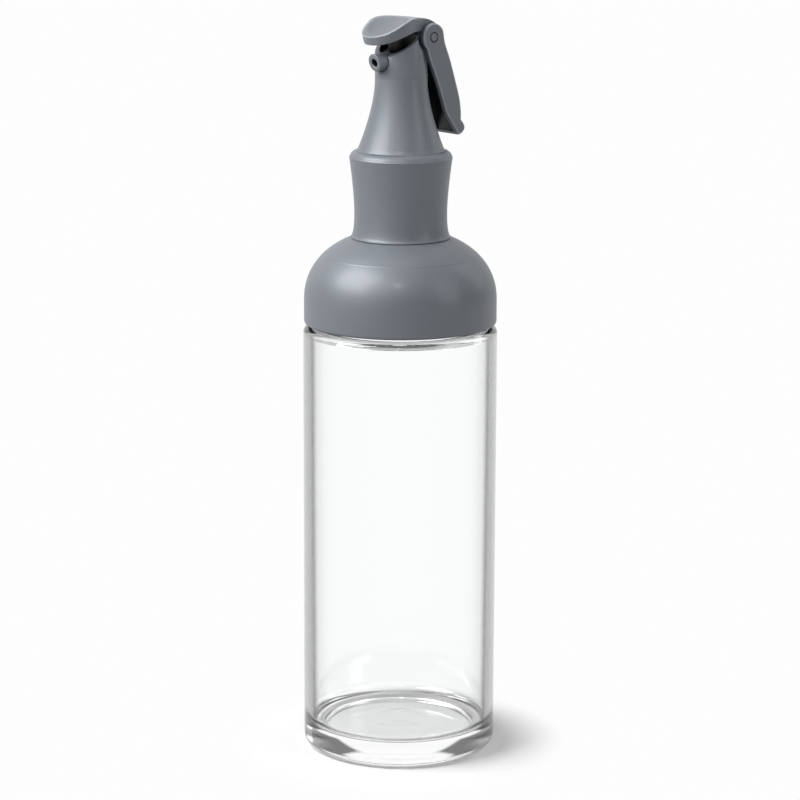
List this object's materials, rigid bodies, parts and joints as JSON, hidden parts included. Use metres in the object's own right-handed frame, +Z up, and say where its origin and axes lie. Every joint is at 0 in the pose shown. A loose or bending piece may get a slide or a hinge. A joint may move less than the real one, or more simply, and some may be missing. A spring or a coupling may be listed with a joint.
{
  "type": "oil dispenser bottle",
  "caption": "Clear glass oil bottle with a domed screw cap, a waisted collar, a flared pouring neck with a nozzle, and a sprung flip lid worked by a squeeze lever.",
  "frame": {"origin": "middle of the bottle's foot, on the surface it stands on", "axes": "+Z up the bottle, -Y the way the nozzle points, +Y the lever's side, X along the hinge pin"},
  "size_m": [0.07, 0.07, 0.2674],
  "materials": {
    "clear_glass": "clear, polished",
    "grey_plastic": "satin, fine grain",
    "liner_plastic": "natural, slightly cloudy",
    "gasket_rubber": "soft white",
    "seal_rubber": "soft black",
    "spring_steel": "drawn wire"
  },
  "bodies": {
    "bottle": {"glass_bottle": "clear_glass"},
    "cap_seal": {"bottle_gasket": "gasket_rubber"},
    "cap": {"dome_cap": "grey_plastic", "cap_liner": "liner_plastic", "chimney_seal": "seal_rubber", "neck_collar": "grey_plastic", "pour_neck": "grey_plastic", "spout_insert": "grey_plastic", "vent_tube": "liner_plastic", "hinge_pin": "grey_plastic", "torsion_spring": "spring_steel"},
    "lever": {"squeeze_lever": "grey_plastic"},
    "lid": {"pour_lid": "grey_plastic", "lid_stopper": "seal_rubber"}
  },
  "joints": [
    {"name": "cap_lift", "type": "slide", "parent": "bottle", "child": "cap_seal", "axis": [0, 0, 1], "range_m": [0, 0.006]},
    {"name": "cap_twist", "type": "hinge", "parent": "cap_seal", "child": "cap", "pos_m": [0, 0, 0.1713], "axis": [0, 0, 1], "range_deg": [0, 540]},
    {"name": "lever_squeeze", "type": "hinge", "parent": "cap", "child": "lever", "pos_m": [0, 0.00944, 0.26013], "axis": [-1, 0, 0], "range_deg": [0, 7], "stiffness_Nm_per_rad": 0.05, "springref_deg": -34.38},
    {"name": "lid_flip", "type": "hinge", "parent": "lever", "child": "lid", "pos_m": [0, 0.00944, 0.26013], "axis": [-1, 0, 0], "range_deg": [0, 55], "stiffness_Nm_per_rad": 0.01, "springref_deg": -57.3}
  ],
  "couplings": [
    {"joint": "cap_lift", "follows": "cap_twist", "m_per_rad": 0.00063662}
  ]
}
